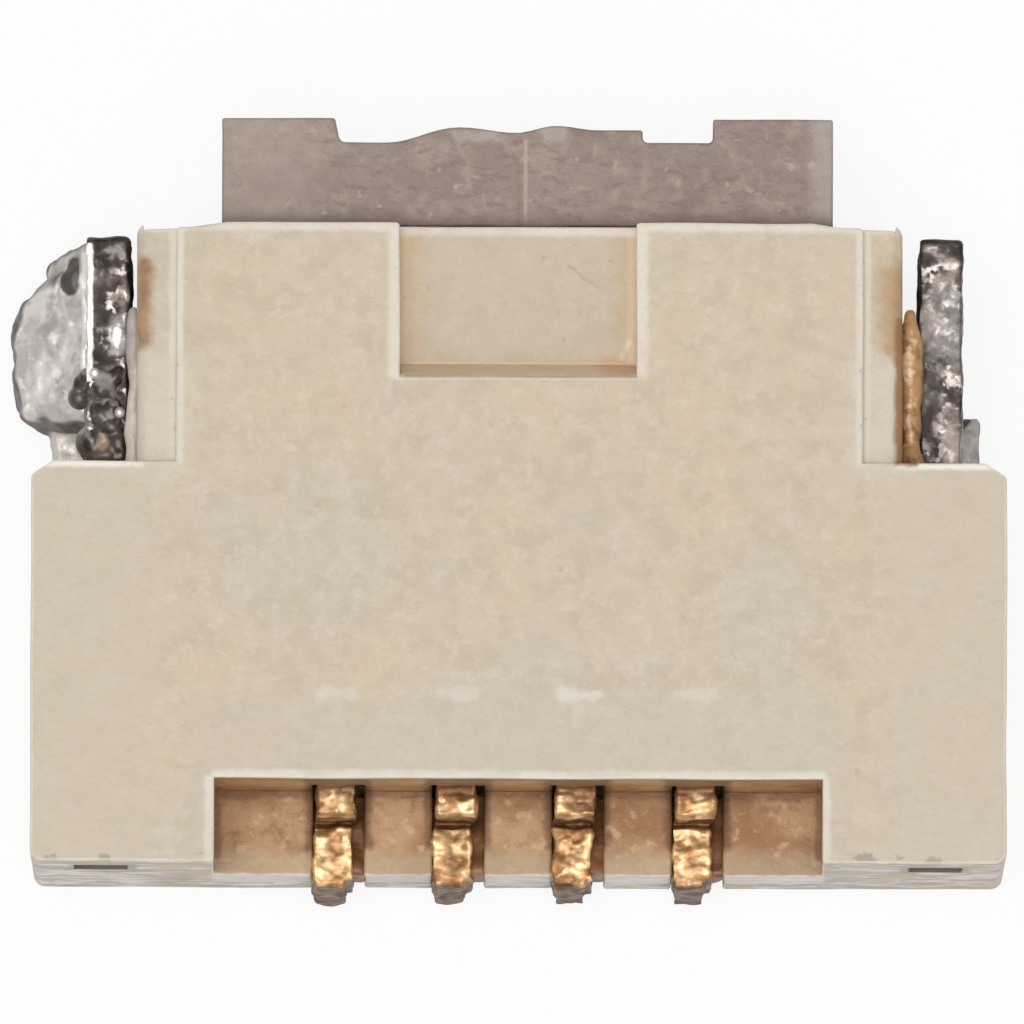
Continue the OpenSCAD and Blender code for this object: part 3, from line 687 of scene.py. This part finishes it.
def slot_shade_fill():
    """Dark fill down in the tail slots, coloured as flux: painted shade."""
    f = Finish("slot_shade_fill", roughness=0.4)
    colour = f.mix(f.step(f.cloud(5, 3, seed=1), 0.35, 0.65), tone(112, 74, 44), tone(150, 108, 68))
    return f.finish(colour, f.relief(f.cloud(9, 3, seed=2), 0.02))


# ---------------------------------------------------------------- building blocks for shapes

def merged_copy(node):
    """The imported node's mesh in millimetres, with its seams merged and its flat faces whole."""
    bm = bmesh.new()
    bm.from_mesh(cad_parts[node].data)
    bmesh.ops.scale(bm, vec=(1 / MM, 1 / MM, 1 / MM), verts=bm.verts)
    bmesh.ops.remove_doubles(bm, verts=bm.verts, dist=1e-4)
    bmesh.ops.dissolve_limit(bm, angle_limit=math.radians(0.5), verts=bm.verts, edges=bm.edges)
    return bm


def split_long_edges(bm, length, chosen):
    """Adds points along the chosen edges, no further apart than length."""
    for edge in [e for e in bm.edges if chosen(e)]:
        cuts = int(edge.calc_length() / length)
        if cuts:
            bmesh.ops.bisect_edges(bm, edges=[edge], cuts=cuts)


def is_corner(edge):
    """Is it an outward edge sharper than 35 degrees?"""
    return edge.is_manifold and edge.calc_face_angle_signed() > math.radians(35)


def is_nook(edge):
    """Is it an upright inward edge sharper than 35 degrees?"""
    a, b = (v.co for v in edge.verts)
    upright = abs(a.x - b.x) + abs(a.y - b.y) < 0.001
    return edge.is_manifold and upright and edge.calc_face_angle_signed() < -math.radians(35)


def round_edges(bm, width, chosen, segments=3):
    """Rounds the chosen edges and marks the rounds for their edge colour, which on the moulding is partly
    wear and partly painted highlight.
    """
    worn = bm.verts.layers.float.get("worn") or bm.verts.layers.float.new("worn")
    made = bmesh.ops.bevel(
        bm, geom=[e for e in bm.edges if chosen(e)], offset=width, offset_type="OFFSET", segments=segments,
        profile=0.5, affect="EDGES", clamp_overlap=False, material=-1)
    rounds = set(made["faces"])
    for vert in bm.verts:
        if vert.link_faces and all(face in rounds for face in vert.link_faces):
            vert[worn] = 1.0


def waver(bm, amount, per_mm, seed=0.0):
    """Moves each point a little, so that edges aren't ruler straight."""
    for vert in bm.verts:
        vert.co += noise.noise_vector(vert.co * per_mm + Vector((seed, seed, seed))) * amount


def fine_skin(bm, voxel):
    """The same solid with an even skin of small faces."""
    mesh = bpy.data.meshes.new("skin")
    bm.to_mesh(mesh)
    bm.free()
    holder = bpy.data.objects.new("skin", mesh)
    bpy.context.scene.collection.objects.link(holder)
    remesh = holder.modifiers.new("skin", "REMESH")
    remesh.mode = "VOXEL"
    remesh.voxel_size = voxel
    shown = holder.evaluated_get(bpy.context.evaluated_depsgraph_get())
    bm = bmesh.new()
    bm.from_mesh(shown.to_mesh())
    shown.to_mesh_clear()
    bpy.data.objects.remove(holder)
    bpy.data.meshes.remove(mesh)
    bm.normal_update()
    return bm


def soften(bm, rounds):
    """Smooths a fine skin."""
    for _ in range(rounds):
        bmesh.ops.smooth_vert(
            bm, verts=bm.verts, factor=0.5, use_axis_x=True, use_axis_y=True, use_axis_z=True)
    bm.normal_update()


def roughen(bm, depth, per_mm, seed=0.0, stretch=(1, 1, 1), where=lambda co: 1.0):
    """Pushes a fine skin in and out by up to depth, and marks how hollow and how steep it is."""
    hollow = bm.verts.layers.float.get("hollow") or bm.verts.layers.float.new("hollow")
    steep = bm.verts.layers.float.get("steep") or bm.verts.layers.float.new("steep")
    shift = Vector((seed, seed * 0.7, -seed))
    for vert in bm.verts:
        at = Vector(vert.co[i] * per_mm * stretch[i] for i in range(3)) + shift
        push = noise.noise(at) * where(vert.co)
        vert.co += vert.normal * push * depth
        vert[hollow] = max(vert[hollow], min(1.0, -2.5 * push))
        vert[steep] = 1 - abs(vert.normal.z)
    bm.normal_update()


def drops(places):
    """One blob from overlapping drops: place and radius of each."""
    bm = bmesh.new()
    for *at, radius in places:
        bmesh.ops.create_icosphere(bm, subdivisions=3, radius=radius, matrix=Matrix.Translation(at))
    bm = fine_skin(bm, 0.014)
    soften(bm, 2)
    return bm


def shape_piece(name, bm, material, body, replaces=(), sharp=60, flat_faces=False):
    """Makes the finished object, in metres, hides the parts it stands for and hangs it on the body it rides
    on.
    """
    bmesh.ops.scale(bm, vec=(MM, MM, MM), verts=bm.verts)
    mesh = bpy.data.meshes.new(name)
    bm.to_mesh(mesh)
    bm.free()
    mesh.shade_smooth()
    mesh.set_sharp_from_angle(angle=math.radians(sharp))
    mesh.materials.append(material)
    piece = bpy.data.objects.new(name, mesh)
    bpy.context.scene.collection.objects.link(piece)
    if flat_faces:
        weighted = piece.modifiers.new("flat_faces", "WEIGHTED_NORMAL")
        weighted.keep_sharp = True
    if replaces:
        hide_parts(*replaces)
    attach(piece, body)
    return piece


# ---------------------------------------------------------------- the pieces

def dress_housing(material):
    """The moulding, with rounded and slightly wavering outer edges."""
    bm = merged_copy("housing")

    def outer(edge):
        """Corners seen from outside: not those in the cavity, the contact slots or the nail slots."""
        if not is_corner(edge):
            return False
        x, y, z = (edge.verts[0].co + edge.verts[1].co) / 2
        in_cavity = abs(x) < 2.97 and RECESS_WALL + 0.3 < y < FRONT - 0.4 and z < TOP - 0.5
        in_slot = abs(x) < RECESS_HALF and y < RECESS_WALL + 1 and z < RECESS_Z - 0.01 and y > REAR + 0.01
        at_nail = NAIL_SLOT[0] - 0.01 < abs(x) < NAIL_SLOT[1] + 0.01 and NAIL_SLOT_Z[0] < z < NAIL_SLOT_Z[1]
        return not (in_cavity or in_slot or at_nail)

    split_long_edges(bm, 0.22, outer)
    # The front edge falls back towards its two ends
    for vert in bm.verts:
        if vert.co.y > FRONT - 0.01 and abs(vert.co.x) > 2.45:
            vert.co.y -= 0.03 + 0.03 * (abs(vert.co.x) - 2.45)
    round_edges(bm, 0.028, outer)
    waver(bm, 0.008, 1.4)
    shape_piece(
        "housing_shell", bm, material, FIXED, ["housing"], sharp=12, flat_faces=True)


def dress_slider(material):
    """The lock, with softened edges and rounded notches."""
    bm = merged_copy("slider")

    def in_head(edge):
        return min(edge.verts[0].co.y, edge.verts[1].co.y) > FRONT - 0.2

    round_edges(bm, 0.045, lambda edge: is_nook(edge) and in_head(edge), segments=4)
    split_long_edges(bm, 0.2, lambda edge: is_corner(edge) and in_head(edge))
    round_edges(bm, 0.02, lambda edge: is_corner(edge) and in_head(edge))
    waver(bm, 0.006, 2.2, 5)
    shape_piece(
        "slider_head", bm, material, SLIDING, ["slider"], sharp=12, flat_faces=True)


def dress_contacts(material):
    """Stampings with rough sheared edges on their tails."""
    def outside(co):
        return min(1.0, max(0.0, (RECESS_WALL + 0.05 - co.y) / 0.1))

    for count, node in enumerate(CONTACTS):
        bm = fine_skin(merged_copy(node), 0.016)
        soften(bm, 1)
        roughen(bm, 0.035, 4.5, count * 7.3, (1.2, 1.4, 0.7), outside)
        roughen(bm, 0.012, 12, count * 3.1, (1, 1.5, 0.6), outside)
        shape_piece(node + "_stamping", bm, material, FIXED, [node])


def dress_nails(material):
    """Sheet nails, uneven with burnt flux and solder along the top."""
    def outside(co):
        return min(1.0, max(0.0, (co.y - SHOULDER) / 0.1))

    for seed, node in enumerate(("fitting_nail_left", "fitting_nail_right")):
        bm = fine_skin(merged_copy(node), 0.022)
        soften(bm, 1)
        roughen(bm, 0.025, 3.5, seed, where=outside)
        roughen(bm, 0.012, 9, seed + 3, where=outside)
        shape_piece(node + "_sheet", bm, material, FIXED, [node])


def dress_solder(material):
    """The lump and the thin residue, wrinkled."""
    for node, depth in (("solder_left", 0.05), ("solder_right", 0.02)):
        bm = fine_skin(merged_copy(node), 0.016)
        soften(bm, 4)
        roughen(bm, depth, 4)
        roughen(bm, depth * 0.4, 10)
        for vert in bm.verts:
            vert.co.z = max(vert.co.z, 0.0)
        shape_piece(node + "_mass", bm, material, FIXED, [node])


def add_seam_flux():
    """Flux that fills the gaps between the nails and the front section."""
    right = (FRONT_HALF + NAIL_R_LO.x) / 2
    left = (-FRONT_HALF + NAIL_L_HI.x) / 2
    runs = (
        ("flux_right", right, 0.1, 1.32, clear_flux()),
        ("flux_left", left, 0.062, 1.3, pale_flux()),
    )
    for name, x, radius, length, material in runs:
        count = round(length / 0.045)
        places = []
        for i in range(count):
            wave = noise.noise(Vector((x, i * 0.16, 0)))
            thin = radius * (1 + 0.35 * wave - 0.25 * (i / count) ** 3)
            places.append((x + 0.03 * wave, SHOULDER + 0.02 + i * 0.045, 2.12 - 0.05 * abs(wave), thin))
        bm = drops(places)
        soften(bm, 6)
        roughen(bm, 0.03, 5, x)
        shape_piece(name, bm, material, FIXED)


def add_burnt_flux(material, bright):
    """Black flux over the lower half of the left nail, with bright beads in it."""
    x = (PLATE_L + NAIL_L_HI.x) / 2
    z = NAIL_L_HI.z - 0.05
    places = [
        (x - 0.06, 1.46, z - 0.06, 0.11), (x + 0.07, 1.42, z - 0.06, 0.12), (x - 0.02, 1.3, z - 0.07, 0.14),
        (x + 0.06, 1.16, z - 0.06, 0.14), (x - 0.06, 1.1, z - 0.08, 0.14), (x + 0.02, 0.98, z - 0.08, 0.14),
        (x - 0.1, 0.86, z - 0.1, 0.17), (x + 0.06, 0.86, z - 0.08, 0.15), (x - 0.04, 0.78, z - 0.07, 0.15),
        (x + 0.08, 0.77, z - 0.08, 0.12), (x - 0.22, 1.38, z - 0.2, 0.07), (x - 0.23, 1.28, z - 0.24, 0.08),
        (x - 0.16, 1.42, z - 0.14, 0.08)]
    bm = drops(places)
    soften(bm, 6)
    roughen(bm, 0.05, 5, 2)
    shape_piece("burnt_flux", bm, material, FIXED)
    for count, (bx, by, radius) in enumerate(((-3.545, 1.445, 0.055), (-3.335, 1.115, 0.055))):
        bm = drops([(bx, by, z + 0.035, radius)])
        shape_piece("solder_bead_" + str(count + 1), bm, bright, FIXED)


def add_slot_shade_fill(material):
    """Dark flux-coloured fill down in the slots, beside the tails, rising towards the rear: painted shade.
    """
    for name in CONTACTS:
        lo, hi = box_mm(name)
        bm = bmesh.new()
        bmesh.ops.create_cube(bm, size=1)
        bmesh.ops.scale(bm, vec=(0.45, 0.68, 0.7), verts=bm.verts)
        bmesh.ops.translate(bm, vec=((lo.x + hi.x) / 2 + 0.035, REAR + 0.35, 0.85), verts=bm.verts)
        for vert in bm.verts:
            if vert.co.z > 1 and vert.co.y > REAR + 0.3:
                vert.co.z -= 0.25
        bm = fine_skin(bm, 0.025)
        roughen(bm, 0.03, 6, lo.x)
        shape_piece("slot_shade_fill_" + name[-1], bm, material, FIXED)


place_camera()
light_studio()
lay_floor()
dress_housing(housing_plastic())
dress_slider(slider_plastic())
dress_contacts(gold_plate())
dress_nails(nail_metal())
dress_solder(dull_solder())
add_seam_flux()
add_burnt_flux(burnt_flux(), bead_solder())
add_slot_shade_fill(slot_shade_fill())
